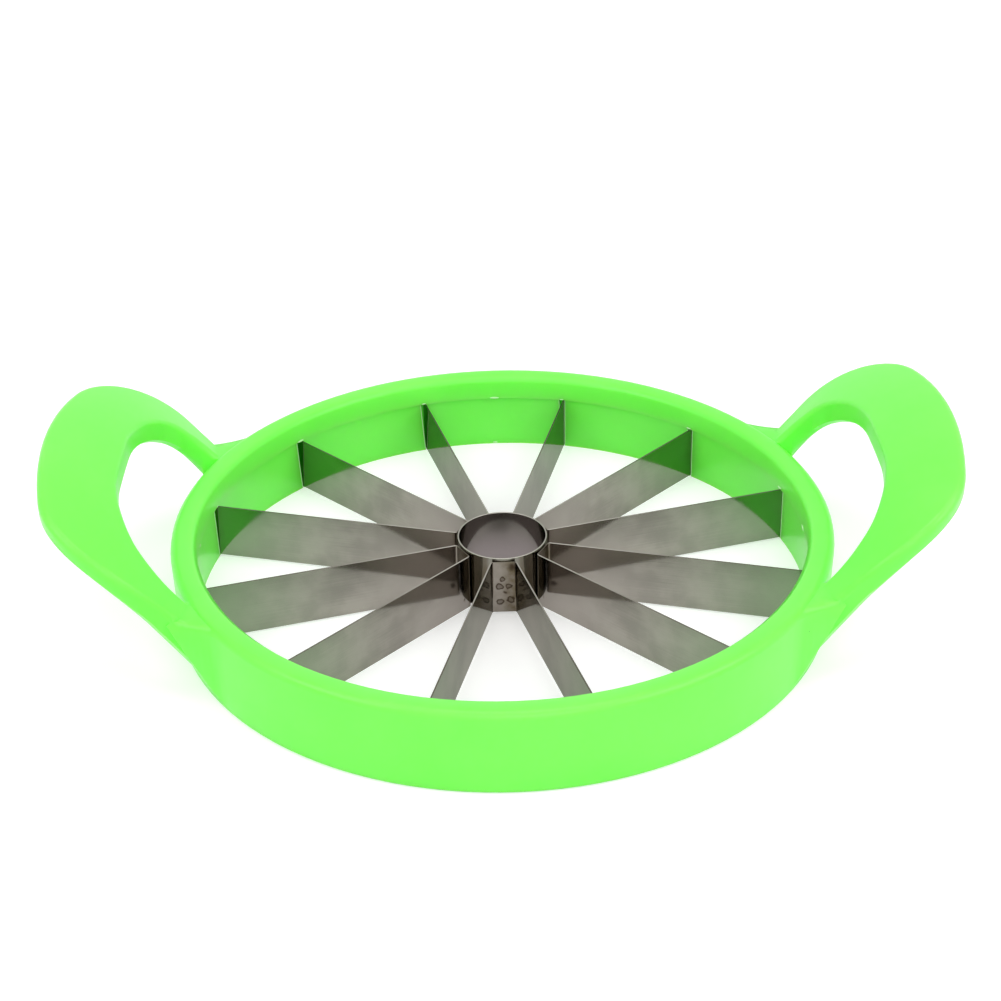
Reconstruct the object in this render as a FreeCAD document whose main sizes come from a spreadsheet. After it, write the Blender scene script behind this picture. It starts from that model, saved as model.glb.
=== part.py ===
"""Watermelon slicer: a round plastic frame with two raised loop handles, a steel core
tube and six folded steel strips that give twelve radial blades.

The origin is the centre of the ring on the surface that it stands on, +Z is up and the
handles lie along X. Sizes are in millimetres and angles in degrees.
"""

import FreeCAD, Part
import math
import os

import Sketcher
from FreeCAD import Placement, Rotation, Vector

SIZES = {
    # ring
    "ring_radius": 140.0,
    "ring_width": 10.8,
    "ring_height": 37.0,
    "ring_draft": 0.7,
    "crest_outer_round": 3.2,
    "crest_steps": 4,
    "crest_inner_round": 2.4,
    "lip_step": 1.3,
    "wall_draft": 0.3,
    "foot_round": 1.0,
    # core tube
    "tube_radius": 19.2,
    "tube_wall": 0.7,
    "tube_height": 26.0,
    "tube_foot": 1.2,
    # blade strips
    "strip_count": 6,
    "blade_thickness": 0.6,
    "blade_height": 25.0,
    "blade_foot": 0.9,
    "blade_tongue": 3.0,
    "blade_corner_round": 3.5,
    "fold_radius": 1.0,
    "weld_gap": 0.05,
    # slots in the ring for the blade ends
    "slot_clearance": 0.15,
    "slot_taper": 1.9,
    # handle seen from above: a share is of the reach past the ring (the neck's is of the
    # ring's radius), a spread is of the ring's radius
    "handle_reach": 188.1,
    "handle_tip_lead": 4.8,
    "handle_shoulder_share": 0.748,
    "handle_shoulder_spread": 0.564,
    "handle_shoulder_round": 36.5,
    "handle_neck_share": 0.876,
    "handle_neck_spread": 0.504,
    "corner_clearance": 0.4,
    # finger opening seen from above
    "grip_inner_share": 0.353,
    "grip_inner_spread": 0.221,
    "opening_lead": 2.2,
    "opening_corner_spread": 0.416,
    "opening_corner_round": 21.0,
    # handle seen from the front
    "grip_height": 84.0,
    "grip_thickness": 9.6,
    "grip_crown_radius": 320.0,
    "grip_bend_radius": 81.0,
    "arm_top_foot_share": -1.077,
    "arm_top_knee_share": 0.489,
    "arm_under_foot_share": -0.588,
    "arm_under_knee_share": 0.447,
    "grip_top_round": 2.7,
    "grip_under_round": 3.0,
    # root that fairs each arm into the ring
    "root_height": 36.0,
    "root_inset": 6.0,
    "root_foot_lead": -1.7,
    "root_flare": 12.6,
    "root_fairing_spread": 0.286,
    "root_fairing_angle": 39.0,
    "root_fairing_depth": 2.0,
    "root_top_round": 2.0,
}

# Sizes that follow from others: places along X, half widths along Y, and the rounds that
# fill what the next round leaves of their side.
FOLLOWING = {
    "handle_out": "handle_reach - ring_radius",
    "handle_shoulder_reach": "ring_radius + handle_shoulder_share * handle_out",
    "handle_shoulder_width": "handle_shoulder_spread * ring_radius",
    "handle_neck_reach": "handle_neck_share * ring_radius",
    "handle_neck_width": "handle_neck_spread * ring_radius",
    "handle_tip_depth": "handle_reach + handle_tip_lead - handle_shoulder_reach",
    "handle_neck_depth": "handle_shoulder_reach - handle_neck_reach",
    "handle_flare": "handle_shoulder_width - handle_neck_width",
    "handle_tip_turn": "atan(handle_tip_depth / handle_shoulder_width)",
    "handle_shoulder_turn": "handle_tip_turn + atan(handle_neck_depth / handle_flare)",
    "handle_tip_run": "handle_shoulder_width / cos(handle_tip_turn)"
    " - handle_shoulder_round / tan(handle_shoulder_turn / 2) - corner_clearance",
    "handle_tip_radius": "handle_tip_run / tan(handle_tip_turn)",
    "grip_inner_reach": "ring_radius + grip_inner_share * handle_out",
    "grip_inner_width": "grip_inner_spread * ring_radius",
    "opening_corner_reach": "ring_radius + opening_lead",
    "opening_corner_width": "opening_corner_spread * ring_radius",
    "opening_depth": "grip_inner_reach - opening_corner_reach",
    "opening_turn": "atan(opening_depth / (opening_corner_width - grip_inner_width))",
    "grip_inner_run": "opening_depth / sin(opening_turn)"
    " - opening_corner_round * (1 / cos(opening_turn) - tan(opening_turn)) - corner_clearance",
    "grip_inner_round": "grip_inner_run / tan(opening_turn / 2)",
    "arm_top_foot": "ring_radius + arm_top_foot_share * handle_out",
    "arm_top_knee": "ring_radius + arm_top_knee_share * handle_out",
    "arm_under_foot": "ring_radius + arm_under_foot_share * handle_out",
    "arm_under_knee": "ring_radius + arm_under_knee_share * handle_out",
    "root_reach": "ring_radius - root_inset",
    "root_fairing_round": "root_fairing_spread * ring_radius",
}

TINY = 1e-6

doc = FreeCAD.newDocument("WatermelonSlicer")
sheet = doc.addObject("Spreadsheet::Sheet", "Sizes")


def fill_sheet():
    """Write every driving dimension, then those that follow, under their own names."""
    cells = {name: str(value) for name, value in SIZES.items()}
    cells.update({name: f"={formula}" for name, formula in FOLLOWING.items()})
    for row, (name, content) in enumerate(cells.items(), start=1):
        sheet.set(f"A{row}", name.replace("_", " "))
        sheet.set(f"B{row}", content)
        sheet.setAlias(f"B{row}", name)
        doc.recompute()


def linked(formula):
    """Point each size name in a formula at the sheet."""
    words = []
    word = ""
    for letter in formula + " ":
        if letter.isalnum() or letter == "_":
            word += letter
            continue
        words.append(f"Sizes.{word}" if word in SIZES or word in FOLLOWING else word)
        words.append(letter)
        word = ""
    return "".join(words).strip()


def value_of(formula):
    """Work out a formula of the sheet as a plain number."""
    return float(sheet.evalExpression(linked(formula)))


def bind(target, path, formula):
    """Tie a property of an object to a formula of the sheet."""
    target.setExpression(path, linked(formula))


def new_body(name):
    """Add an empty body."""
    return doc.addObject("PartDesign::Body", name)


def new_sketch(body, name, role):
    """Add a sketch on one of the body's own origin planes."""
    sketch = body.newObject("Sketcher::SketchObject", name)
    plane = [item for item in body.Origin.OriginFeatures if item.Role == role][0]
    sketch.AttachmentSupport = [(plane, "")]
    sketch.MapMode = "FlatFace"
    return sketch


def dimension(sketch, kind, elements, formula):
    """Add a dimension to a sketch that follows a formula of the sheet."""
    number = value_of(formula)
    index = sketch.addConstraint(Sketcher.Constraint(kind, *elements, number))
    bind(sketch, f"Constraints[{index}]", formula)


def place_point(sketch, x_formula, y_formula):
    """Add a construction point whose coordinates follow two formulas."""
    place = Vector(value_of(x_formula), value_of(y_formula), 0)
    point = sketch.addGeometry(Part.Point(place), True)
    for kind, formula, axis in (("DistanceX", x_formula, -2), ("DistanceY", y_formula, -1)):
        if formula == "0":
            sketch.addConstraint(Sketcher.Constraint("PointOnObject", point, 1, axis))
        else:
            dimension(sketch, kind, (-1, 1, point, 1), formula)
    return point, place


def corner_round(place, before, after, radius):
    """Return where the round at a corner meets its two sides, and the round's centre."""
    back = (before - place).normalize()
    ahead = (after - place).normalize()
    run = radius / math.tan(back.getAngle(ahead) / 2)
    centre = place + (back + ahead).normalize() * math.hypot(run, radius)
    return place + back * run, place + ahead * run, centre


def add_round(sketch, start, end, centre, radius):
    """Draw the short arc between two points; return it and the start's vertex number."""
    begin = math.atan2(start.y - centre.y, start.x - centre.x)
    sweep = (math.atan2(end.y - centre.y, end.x - centre.x) - begin) % (2 * math.pi)
    circle_shape = Part.Circle(centre, Vector(0, 0, 1), radius)
    if sweep < math.pi:
        arc = Part.ArcOfCircle(circle_shape, begin, begin + sweep)
        return sketch.addGeometry(arc, False), 1
    arc = Part.ArcOfCircle(circle_shape, begin + sweep, begin + 2 * math.pi)
    return sketch.addGeometry(arc, False), 2


def rounded_outline(sketch, corners):
    """Draw a closed outline of straight sides, with a round at some corners.

    Each corner is (x formula, y formula, round formula or None). Every side runs
    through its two corner points, and each round is tangent to its two sides.
    """
    points = [place_point(sketch, x, y) for x, y, _ in corners]
    places = [place for _, place in points]
    count = len(corners)
    radii = [value_of(corner[2]) if corner[2] else 0.0 for corner in corners]
    rounds = []
    for i in range(count):
        rounds.append(corner_round(places[i], places[i - 1], places[(i + 1) % count], radii[i]))
    sides = []
    for i in range(count):
        line = Part.LineSegment(rounds[i][1], rounds[(i + 1) % count][0])
        sides.append(sketch.addGeometry(line, False))
    for i in range(count):
        point = points[i][0]
        before = sides[i - 1]
        after = sides[i]
        if corners[i][2] is None:
            sketch.addConstraint(Sketcher.Constraint("Coincident", before, 2, after, 1))
            sketch.addConstraint(Sketcher.Constraint("Coincident", point, 1, after, 1))
            continue
        turn, first = add_round(sketch, *rounds[i], radii[i])
        sketch.addConstraint(Sketcher.Constraint("Tangent", before, 2, turn, first))
        sketch.addConstraint(Sketcher.Constraint("Tangent", turn, 3 - first, after, 1))
        sketch.addConstraint(Sketcher.Constraint("PointOnObject", point, 1, before))
        sketch.addConstraint(Sketcher.Constraint("PointOnObject", point, 1, after))
        dimension(sketch, "Radius", (turn,), corners[i][2])


def mirrored(corners):
    """Return corners above the X axis followed by their mirror images below it."""
    below = [(x, f"-({y})", size) for x, y, size in reversed(corners)]
    return corners + below


def circle(sketch, radius_formula):
    """Draw a circle round the sketch's origin."""
    ring = sketch.addGeometry(Part.Circle(Vector(), Vector(0, 0, 1), value_of(radius_formula)))
    sketch.addConstraint(Sketcher.Constraint("Coincident", ring, 3, -1, 1))
    dimension(sketch, "Radius", (ring,), radius_formula)


def pad(body, sketch, name, length_formula):
    """Raise a sketch along its normal."""
    feature = body.newObject("PartDesign::Pad", name)
    feature.Profile = sketch
    bind(feature, "Length", length_formula)
    body.Tip = feature
    return feature


def soften_edges(body, name, chosen, kind, size_formula):
    """Fillet or chamfer the chosen edges of the body's last feature."""
    doc.recompute()
    base = body.Tip
    names = [f"Edge{i}" for i, edge in enumerate(base.Shape.Edges, start=1) if chosen(edge)]
    feature = body.newObject(f"PartDesign::{kind}", name)
    feature.Base = (base, names)
    bind(feature, "Radius" if kind == "Fillet" else "Size", size_formula)
    body.Tip = feature
    return feature


def middle_of(edge):
    """The point halfway along an edge."""
    return edge.valueAt((edge.FirstParameter + edge.LastParameter) / 2)


def distance_from_axis(point):
    """Distance of a point from the Z axis."""
    return math.hypot(point.x, point.y)


def rim_side(shape, edge):
    """Say which rim of a wall an edge is: 1 for the upper one, -1 for the lower one.

    An edge that doesn't join an upright face to a sloping or level one gives 0.
    """
    place = middle_of(edge)
    slopes = []
    for face in shape.ancestorsOfType(edge, Part.Face):
        slopes.append(face.normalAt(*face.Surface.parameter(place)).z)
    level = max(slopes, key=abs)
    upright = min(slopes, key=abs)
    if abs(upright) > TINY or abs(level) < 0.1:
        return 0
    return 1 if level > 0 else -1


def build_ring():
    """The ring's section, turned about the Z axis.

    The crest's outer round is a chain of short flats and its small rounds are one flat
    each, which keeps the ring light to mesh.
    """
    body = new_body("Ring")
    section = new_sketch(body, "RingSection", "XZ_Plane")
    inner = "ring_radius - ring_width"
    lip = "blade_foot + blade_height + slot_clearance"
    wall = f"{inner} + lip_step"
    crest = []
    steps = int(value_of("crest_steps"))
    for step in range(steps + 1):
        turn = f"90 * {step} / crest_steps"
        across = f"ring_radius - crest_outer_round * (1 - cos({turn}))"
        crest.append((across, f"ring_height - crest_outer_round * (1 - sin({turn}))", None))
    rounded_outline(
        section,
        [
            ("ring_radius - ring_draft - foot_round", "0", None),
            ("ring_radius - ring_draft", "foot_round", None),
        ]
        + crest
        + [
            (f"{inner} + crest_inner_round", "ring_height", None),
            (inner, "ring_height - crest_inner_round", None),
            (inner, lip, None),
            (wall, lip, None),
            (f"{wall} + wall_draft", "0", None),
        ],
    )
    turn = body.newObject("PartDesign::Revolution", "RingTurn")
    turn.Profile = section
    turn.ReferenceAxis = (section, ["V_Axis"])
    turn.Angle = 360
    body.Tip = turn
    return body


def build_handle_plan(name, height_formula, tip, flank):
    """The handle's outline from above, with its finger opening, raised to a height.

    The flank's corners lead from the handle's end into the ring. The outline then runs
    to the ring's centre, and what lies inside the ring is cut away later.
    """
    body = new_body(name)
    outline = new_sketch(body, f"{name}Outline", "XY_Plane")
    flanks = mirrored(flank)
    half = len(flank)
    rounded_outline(outline, tip + flanks[:half] + [("0", "0", None)] + flanks[half:])
    opening = [
        ("grip_inner_reach", "grip_inner_width", "grip_inner_round"),
        ("opening_corner_reach", "opening_corner_width", "opening_corner_round"),
        ("arm_under_foot - ring_width", "opening_corner_width", None),
    ]
    rounded_outline(outline, mirrored(opening))
    pad(body, outline, f"{name}Pad", height_formula)
    return body


def crowned_turn(body, sketch, name):
    """Turn a front view about a level axis far below, which crowns it from end to end."""
    start = Vector(0, value_of("grip_height - grip_crown_radius"), 0)
    line = sketch.addGeometry(Part.LineSegment(start, start + Vector(100, 0, 0)), True)
    sketch.addConstraint(Sketcher.Constraint("Horizontal", line))
    sketch.addConstraint(Sketcher.Constraint("PointOnObject", line, 1, -2))
    dimension(sketch, "DistanceY", (-1, 1, line, 1), "grip_height - grip_crown_radius")
    dimension(sketch, "DistanceX", (line, 1, line, 2), "ring_radius")
    turn = body.newObject("PartDesign::Revolution", name)
    turn.Profile = sketch
    turn.ReferenceAxis = (sketch, ["Axis0"])
    turn.Midplane = True
    turn.Angle = 50
    body.Tip = turn
    return body


def common(name, *solids):
    """Keep what all of the solids share."""
    shared = doc.addObject("Part::MultiCommon", name)
    shared.Shapes = list(solids)
    return shared


def softened_copy(name, base, rims, beyond, beside):
    """A body that takes a finished solid and softens its rims.

    Each rim is (side, lowest height, kind, size), with the side as rim_side gives it.
    Only edges past a distance from the axis and past a half width are softened.
    """
    doc.recompute()
    body = new_body(name)
    body.BaseFeature = base
    for number, (side, lowest, kind, size_formula) in enumerate(rims, start=1):
        doc.recompute()
        shape = body.Tip.Shape

        def chosen(edge):
            middle = middle_of(edge)
            outside = distance_from_axis(middle) > value_of(beyond)
            outside = outside and abs(middle.y) >= value_of(beside)
            raised = min(vertex.Point.z for vertex in edge.Vertexes) > value_of(lowest)
            return outside and raised and rim_side(shape, edge) == side

        soften_edges(body, f"{name}Rim{number}", chosen, kind, size_formula)
    return body


def build_handle_loop():
    """The raised loop: a sloping front view, crowned, inside the plan outline.

    Its upper rims are true rounds and its under rims are flats of the round's size.
    """
    inner = "arm_under_foot - ring_width"
    start = f"handle_neck_width - (handle_neck_reach - ({inner})) * handle_flare / handle_neck_depth"
    plan = build_handle_plan(
        "LoopPlan",
        "grip_height + grip_thickness",
        [("handle_reach + handle_tip_lead", "0", "handle_tip_radius")],
        [
            ("handle_shoulder_reach", "handle_shoulder_width", "handle_shoulder_round"),
            (inner, start, None),
        ],
    )
    side = new_body("LoopSide")
    view = new_sketch(side, "LoopSideView", "XZ_Plane")
    under = "grip_height - grip_thickness"
    end = "handle_reach + 6 * grip_thickness"
    rounded_outline(
        view,
        [
            ("arm_top_foot", "0", None),
            ("arm_top_knee", "grip_height", "grip_bend_radius"),
            (end, "grip_height", None),
            (end, under, None),
            ("arm_under_knee", under, "grip_bend_radius - grip_thickness"),
            ("arm_under_foot", "0", None),
        ],
    )
    crowned_turn(side, view, "LoopTurn")
    rims = [
        (1, "foot_round", "Fillet", "grip_top_round"),
        (-1, "foot_round", "Chamfer", "grip_under_round"),
    ]
    raw = common("LoopRaw", plan, side)
    return softened_copy("Loop", raw, rims, "ring_radius - ring_width", "0")


def build_handle_root():
    """The root that fairs both arms into the ring.

    Its under side follows the arms and, past them, a cone that leaves the ring's foot.
    """
    end = "(ring_radius - root_fairing_depth)"
    plan = build_handle_plan(
        "RootPlan",
        "root_height",
        [],
        [
            ("handle_shoulder_reach", "handle_shoulder_width", None),
            ("handle_neck_reach", "handle_neck_width", "root_fairing_round"),
            (f"{end} * cos(root_fairing_angle)", f"{end} * sin(root_fairing_angle)", None),
        ],
    )
    slope = "(grip_height - grip_thickness) / (arm_under_knee - arm_under_foot)"
    side = new_body("RootSide")
    view = new_sketch(side, "RootSideView", "XZ_Plane")
    rounded_outline(
        view,
        [
            ("0", "-root_height", None),
            (f"arm_under_foot - root_height / ({slope})", "-root_height", None),
            ("root_reach", f"(root_reach - arm_under_foot) * {slope}", None),
            ("root_reach", "2 * root_height", None),
            ("0", "2 * root_height", None),
        ],
    )
    crowned_turn(side, view, "RootTurn")
    cone = doc.addObject("Part::Cone", "RootCone")
    bind(cone, "Radius1", "ring_radius + root_foot_lead")
    bind(cone, "Radius2", "ring_radius + root_flare")
    bind(cone, "Height", "root_height")
    rims = [(1, "root_height - foot_round", "Chamfer", "root_top_round")]
    raw = common("RootRaw", plan, side)
    root = softened_copy("Root", raw, rims, "ring_radius", "opening_corner_width")
    return common("RootTrimmed", root, cone)


def build_slots():
    """Cutters for the slots that hold the blade ends, one for each blade."""
    body = new_body("Slots")
    end_view = new_sketch(body, "SlotEndView", "YZ_Plane")
    half = "(blade_thickness + slot_clearance) / 2"
    top = "blade_foot + blade_height + slot_clearance"
    rounded_outline(
        end_view,
        [
            (f"-({half})", "-foot_round", None),
            (half, "-foot_round", None),
            (f"{half} + slot_taper", top, None),
            (f"-({half})", top, None),
        ],
    )
    bind(end_view, "AttachmentOffset.Base.z", "ring_radius - 2 * ring_width")
    depth = "ring_width + lip_step + blade_tongue + slot_clearance"
    slot = pad(body, end_view, "SlotPad", depth)
    pattern = body.newObject("PartDesign::PolarPattern", "SlotPattern")
    pattern.Originals = [slot]
    axis = [item for item in body.Origin.OriginFeatures if item.Role == "Z_Axis"][0]
    pattern.Axis = (axis, [""])
    pattern.Angle = 360
    bind(pattern, "Occurrences", "2 * strip_count")
    body.Tip = pattern
    bind(body, "Placement.Rotation.Angle", "90 / strip_count")
    return body


def build_frame():
    """The one plastic moulding: ring, two handles and the blade slots."""
    ring = build_ring()
    half = doc.addObject("Part::MultiFuse", "HandleRaw")
    half.Shapes = [build_handle_loop(), build_handle_root()]
    core = doc.addObject("Part::Cylinder", "RingInside")
    bind(core, "Radius", "ring_radius - ring_width / 2")
    bind(core, "Height", "2 * grip_height")
    right = doc.addObject("Part::Cut", "HandleRight")
    right.Base = half
    right.Tool = core
    left = doc.addObject("Part::Mirroring", "HandleLeft")
    left.Source = right
    left.Normal = (1, 0, 0)
    whole = doc.addObject("Part::MultiFuse", "FrameSolid")
    whole.Shapes = [ring, right, left]
    frame = doc.addObject("Part::Cut", "Frame")
    frame.Base = whole
    frame.Tool = build_slots()
    frame.Label = "frame"
    return frame


def build_core_tube():
    """The plain steel tube in the middle."""
    body = new_body("CoreTube")
    section = new_sketch(body, "TubeSection", "XY_Plane")
    circle(section, "tube_radius")
    circle(section, "tube_radius - tube_wall")
    pad(body, section, "TubePad", "tube_height")
    bind(body, "Placement.Base.z", "tube_foot")
    body.Label = "core_tube"
    return body


def build_blade_strip(number):
    """One folded strip: a short web at the tube and two radial legs."""
    body = new_body(f"BladeStrip{number}")
    outline = new_sketch(body, f"StripOutline{number}", "XY_Plane")
    side = "blade_thickness / 2"
    angle = "90 / strip_count"
    end = "ring_radius - ring_width + lip_step + blade_tongue"
    back = "tube_radius + weld_gap"
    front = f"{back} + blade_thickness"
    rounded_outline(
        outline,
        mirrored(
            [
                (front, f"({front}) * tan({angle}) - {side} / cos({angle})", "fold_radius"),
                (
                    f"({end}) * cos({angle}) + {side} * sin({angle})",
                    f"({end}) * sin({angle}) - {side} * cos({angle})",
                    None,
                ),
                (
                    f"({end}) * cos({angle}) - {side} * sin({angle})",
                    f"({end}) * sin({angle}) + {side} * cos({angle})",
                    None,
                ),
                (
                    back,
                    f"({back}) * tan({angle}) + {side} / cos({angle})",
                    "fold_radius + blade_thickness",
                ),
            ]
        ),
    )
    pad(body, outline, f"StripPad{number}", "blade_height")
    top = value_of("blade_height")
    reach = value_of(end)

    def is_end_corner(edge):
        middle = middle_of(edge)
        return abs(middle.z - top) < TINY and abs(distance_from_axis(middle) - reach) < TINY

    soften_edges(body, f"StripCorners{number}", is_end_corner, "Fillet", "blade_corner_round")
    bind(body, "Placement.Base.z", "blade_foot")
    bind(body, "Placement.Rotation.Angle", f"360 / strip_count * {number} - 90")
    body.Label = f"blade_strip_{number}"
    return body


def check_document():
    """Stop if any object failed to recompute."""
    for item in doc.Objects:
        if "Invalid" in item.State or "Error" in item.State:
            raise RuntimeError(f"{item.Name} failed: {item.State}")


def write_part(item):
    """Write one finished sub-part to its own file."""
    shape = item.Shape
    if shape.isNull() or not shape.isValid():
        raise RuntimeError(f"{item.Label} has no valid shape")
    shape.exportStep(os.path.join("parts", f"{item.Label}.step"))
    print(item.Label, len(shape.Solids), round(shape.Volume, 1))


fill_sheet()
sub_parts = [build_frame(), build_core_tube()]
for strip_number in range(1, int(value_of("strip_count")) + 1):
    sub_parts.append(build_blade_strip(strip_number))
doc.recompute()
check_document()
os.makedirs("parts", exist_ok=True)
for sub_part in sub_parts:
    write_part(sub_part)
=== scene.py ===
"""Looks of a watermelon slicer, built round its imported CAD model.

Sizes are in metres in the model's own frame: the ring stands on z = 0, its centre is
the origin and the handles lie along X.
"""

import logging
import math
from dataclasses import dataclass, replace
from enum import Enum

import bmesh
import bpy
from mathutils import Matrix, Vector


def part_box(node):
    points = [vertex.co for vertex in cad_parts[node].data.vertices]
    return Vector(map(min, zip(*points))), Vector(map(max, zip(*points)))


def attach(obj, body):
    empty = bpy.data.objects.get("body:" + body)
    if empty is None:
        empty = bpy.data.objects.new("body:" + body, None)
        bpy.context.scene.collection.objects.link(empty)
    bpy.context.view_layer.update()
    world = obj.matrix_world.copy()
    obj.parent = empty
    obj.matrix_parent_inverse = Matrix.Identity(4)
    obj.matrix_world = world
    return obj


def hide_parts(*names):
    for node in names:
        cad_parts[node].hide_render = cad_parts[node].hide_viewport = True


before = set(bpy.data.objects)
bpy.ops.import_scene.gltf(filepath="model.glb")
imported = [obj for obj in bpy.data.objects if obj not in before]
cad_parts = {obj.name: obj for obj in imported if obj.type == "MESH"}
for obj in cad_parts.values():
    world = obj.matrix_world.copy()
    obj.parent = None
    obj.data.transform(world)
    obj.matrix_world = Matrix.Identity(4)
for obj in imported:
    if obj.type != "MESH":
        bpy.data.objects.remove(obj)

log = logging.getLogger("slicer")
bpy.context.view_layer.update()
MM = 0.001
FULL_TURN = 2 * math.pi
QUARTER_TURN = math.pi / 2
STRIP_COUNT = 6
TUBE_WALL = 0.7 * MM
FLAT = (1.0, 1.0, 0.0)
WHITE = (1.0, 1.0, 1.0, 1.0)
Triple = tuple[float, float, float]
Colour = tuple[float, float, float, float]
Socket = bpy.types.NodeSocket
Value = float | int | bool | tuple | Socket


class Slot(Enum):
    """Material slots of the record."""

    PLASTIC = "plastic"
    TUBE = "steel_tube"
    BLADE = "steel_blade"


@dataclass(frozen=True)
class Fade:
    """A smooth step: the range that it follows and the results at the range's two ends."""

    low: float
    high: float
    at_low: float = 0.0
    at_high: float = 1.0

    def moved(self, by: float) -> "Fade":
        """Give the same step with its range moved along."""
        return replace(self, low=self.low + by, high=self.high + by)


@dataclass(frozen=True)
class Noise:
    """Settings of a Noise Texture."""

    scale: float
    detail: float = 2.0


@dataclass(frozen=True)
class Spot:
    """A mark on a strip: distance from the web's middle, height and radius."""

    along: float
    height: float
    radius: float


class Builder:
    """Fills a node tree."""

    def __init__(self, tree: bpy.types.NodeTree) -> None:
        """Take an empty tree."""
        self.tree = tree

    def add(self, kind: str, inputs: dict | None = None, **settings: object) -> bpy.types.Node:
        """Add a node, set its options and fill or link its inputs.

        Args:
            kind: The node's type.
            inputs: Socket name or number, and a value or the output that feeds it.
            **settings: Options of the node.

        Returns:
            The new node.
        """
        node = self.tree.nodes.new(kind)
        for name, value in settings.items():
            setattr(node, name, value)
        for key, value in (inputs or {}).items():
            if isinstance(value, Socket):
                self.tree.links.new(value, node.inputs[key])
            else:
                node.inputs[key].default_value = value
        return node

    def math(self, operation: str, *values: Value) -> Socket:
        """Add a Math node with its inputs in order, and give its output."""
        inputs = dict(enumerate(values))
        return self.add("ShaderNodeMath", inputs, operation=operation).outputs[0]

    def vector(self, operation: str, *values: Value) -> Socket:
        """Add a Vector Math node.

        Args:
            operation: What it works out.
            *values: Its inputs, in order. The second one of SCALE is the factor.

        Returns:
            Its output, which is a number for LENGTH and DISTANCE.
        """
        keys = (0, "Scale") if operation == "SCALE" else (0, 1)
        node = self.add("ShaderNodeVectorMath", dict(zip(keys, values)), operation=operation)
        return node.outputs["Value" if operation in ("LENGTH", "DISTANCE") else "Vector"]

    def split(self, vector: Value) -> bpy.types.bpy_prop_collection:
        """Give the X, Y and Z of a vector."""
        return self.add("ShaderNodeSeparateXYZ", {0: vector}).outputs

    def upright(self, height: Value) -> Socket:
        """Give a vector along Z, which may also be a turn about Z."""
        return self.add("ShaderNodeCombineXYZ", {2: height}).outputs[0]

    def place(self) -> Socket:
        """Give the place on the object."""
        return self.add("ShaderNodeTexCoord").outputs["Object"]

    def noise(self, vector: Value, noise: Noise, output: str = "Fac") -> Socket:
        """Add a Noise Texture and give one of its outputs."""
        inputs = {"Vector": vector, "Scale": noise.scale, "Detail": noise.detail}
        return self.add("ShaderNodeTexNoise", inputs).outputs[output]

    def fade(self, value: Value, step: Fade) -> Socket:
        """Carry a number over by a smooth step."""
        inputs = {0: value, 1: step.low, 2: step.high, 3: step.at_low, 4: step.at_high}
        return self.add("ShaderNodeMapRange", inputs, interpolation_type="SMOOTHSTEP").outputs[0]

    def blend(self, share: Value, first: Value, second: Value) -> Socket:
        """Mix two colours, with a share of the second one, and give the result."""
        inputs = {0: share, 6: first, 7: second}
        return self.add("ShaderNodeMix", inputs, data_type="RGBA").outputs[2]


def new_material(name: str) -> tuple[bpy.types.Material, Builder]:
    """Start a material.

    Args:
        name: The material's name.

    Returns:
        The material, and a builder on its empty tree.
    """
    material = bpy.data.materials.new(name)
    material.use_nodes = True
    material.node_tree.nodes.clear()
    return material, Builder(material.node_tree)


def new_group(
    name: str,
    kind: str,
    inputs: dict[str, str],
    outputs: dict[str, str],
    defaults: dict[str, float] | None = None,
) -> tuple:
    """Start a node group.

    Args:
        name: The group's name.
        kind: The kind of tree, Shader or Geometry.
        inputs: Each input's kind of socket.
        outputs: Each output's kind of socket.
        defaults: Values of inputs that are left unlinked.

    Returns:
        The builder, the outputs of its Group Input and the inputs of its Group Output.
    """
    tree = bpy.data.node_groups.new(name, f"{kind}NodeTree")
    for side, sockets in (("INPUT", inputs), ("OUTPUT", outputs)):
        for label, socket in sockets.items():
            item = tree.interface.new_socket(label, in_out=side, socket_type=f"NodeSocket{socket}")
            if defaults and label in defaults:
                item.default_value = defaults[label]
    build = Builder(tree)
    return build, build.add("NodeGroupInput").outputs, build.add("NodeGroupOutput").inputs


@dataclass(frozen=True)
class DrawnGrain:
    """The fine lines that rolling and polishing leave along a sheet."""

    name: str = "drawn_grain"
    line_pitch: float = 3500.0
    line_run: float = 30.0
    lines: Noise = Noise(1.0, 3.0)
    cloud: Noise = Noise(48.0, 5.0)
    streak: Noise = Noise(1.0, 1.0)
    streak_turn: Triple = (0.0, 0.0, 0.35)
    streak_scale: Triple = (22.0, 900.0, 1.0)
    scratch: Fade = Fade(0.66, 0.72)

    def build(self) -> bpy.types.NodeTree:
        """Make the group.

        Returns:
            A group that gives Lines, Cloud and Scratch from a surface coordinate.
        """
        build, given, result = new_group(
            self.name,
            "Shader",
            {"Surface": "Vector", "Line Pitch": "Float", "Line Run": "Float"},
            {"Lines": "Float", "Cloud": "Float", "Scratch": "Float"},
            {"Line Pitch": self.line_pitch, "Line Run": self.line_run},
        )
        surface = given["Surface"]
        scale = build.add("ShaderNodeCombineXYZ", {0: given["Line Run"], 1: given["Line Pitch"], 2: 1.0})
        drawn = build.vector("MULTIPLY", surface, scale.outputs[0])
        turning = {"Vector": surface, "Rotation": self.streak_turn, "Scale": self.streak_scale}
        turned = build.add("ShaderNodeMapping", turning).outputs[0]
        found = {
            "Lines": build.noise(drawn, self.lines),
            "Cloud": build.noise(surface, self.cloud),
            "Scratch": build.fade(build.noise(turned, self.streak), self.scratch),
        }
        for label, socket in found.items():
            build.tree.links.new(socket, result[label])
        return build.tree


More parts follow.
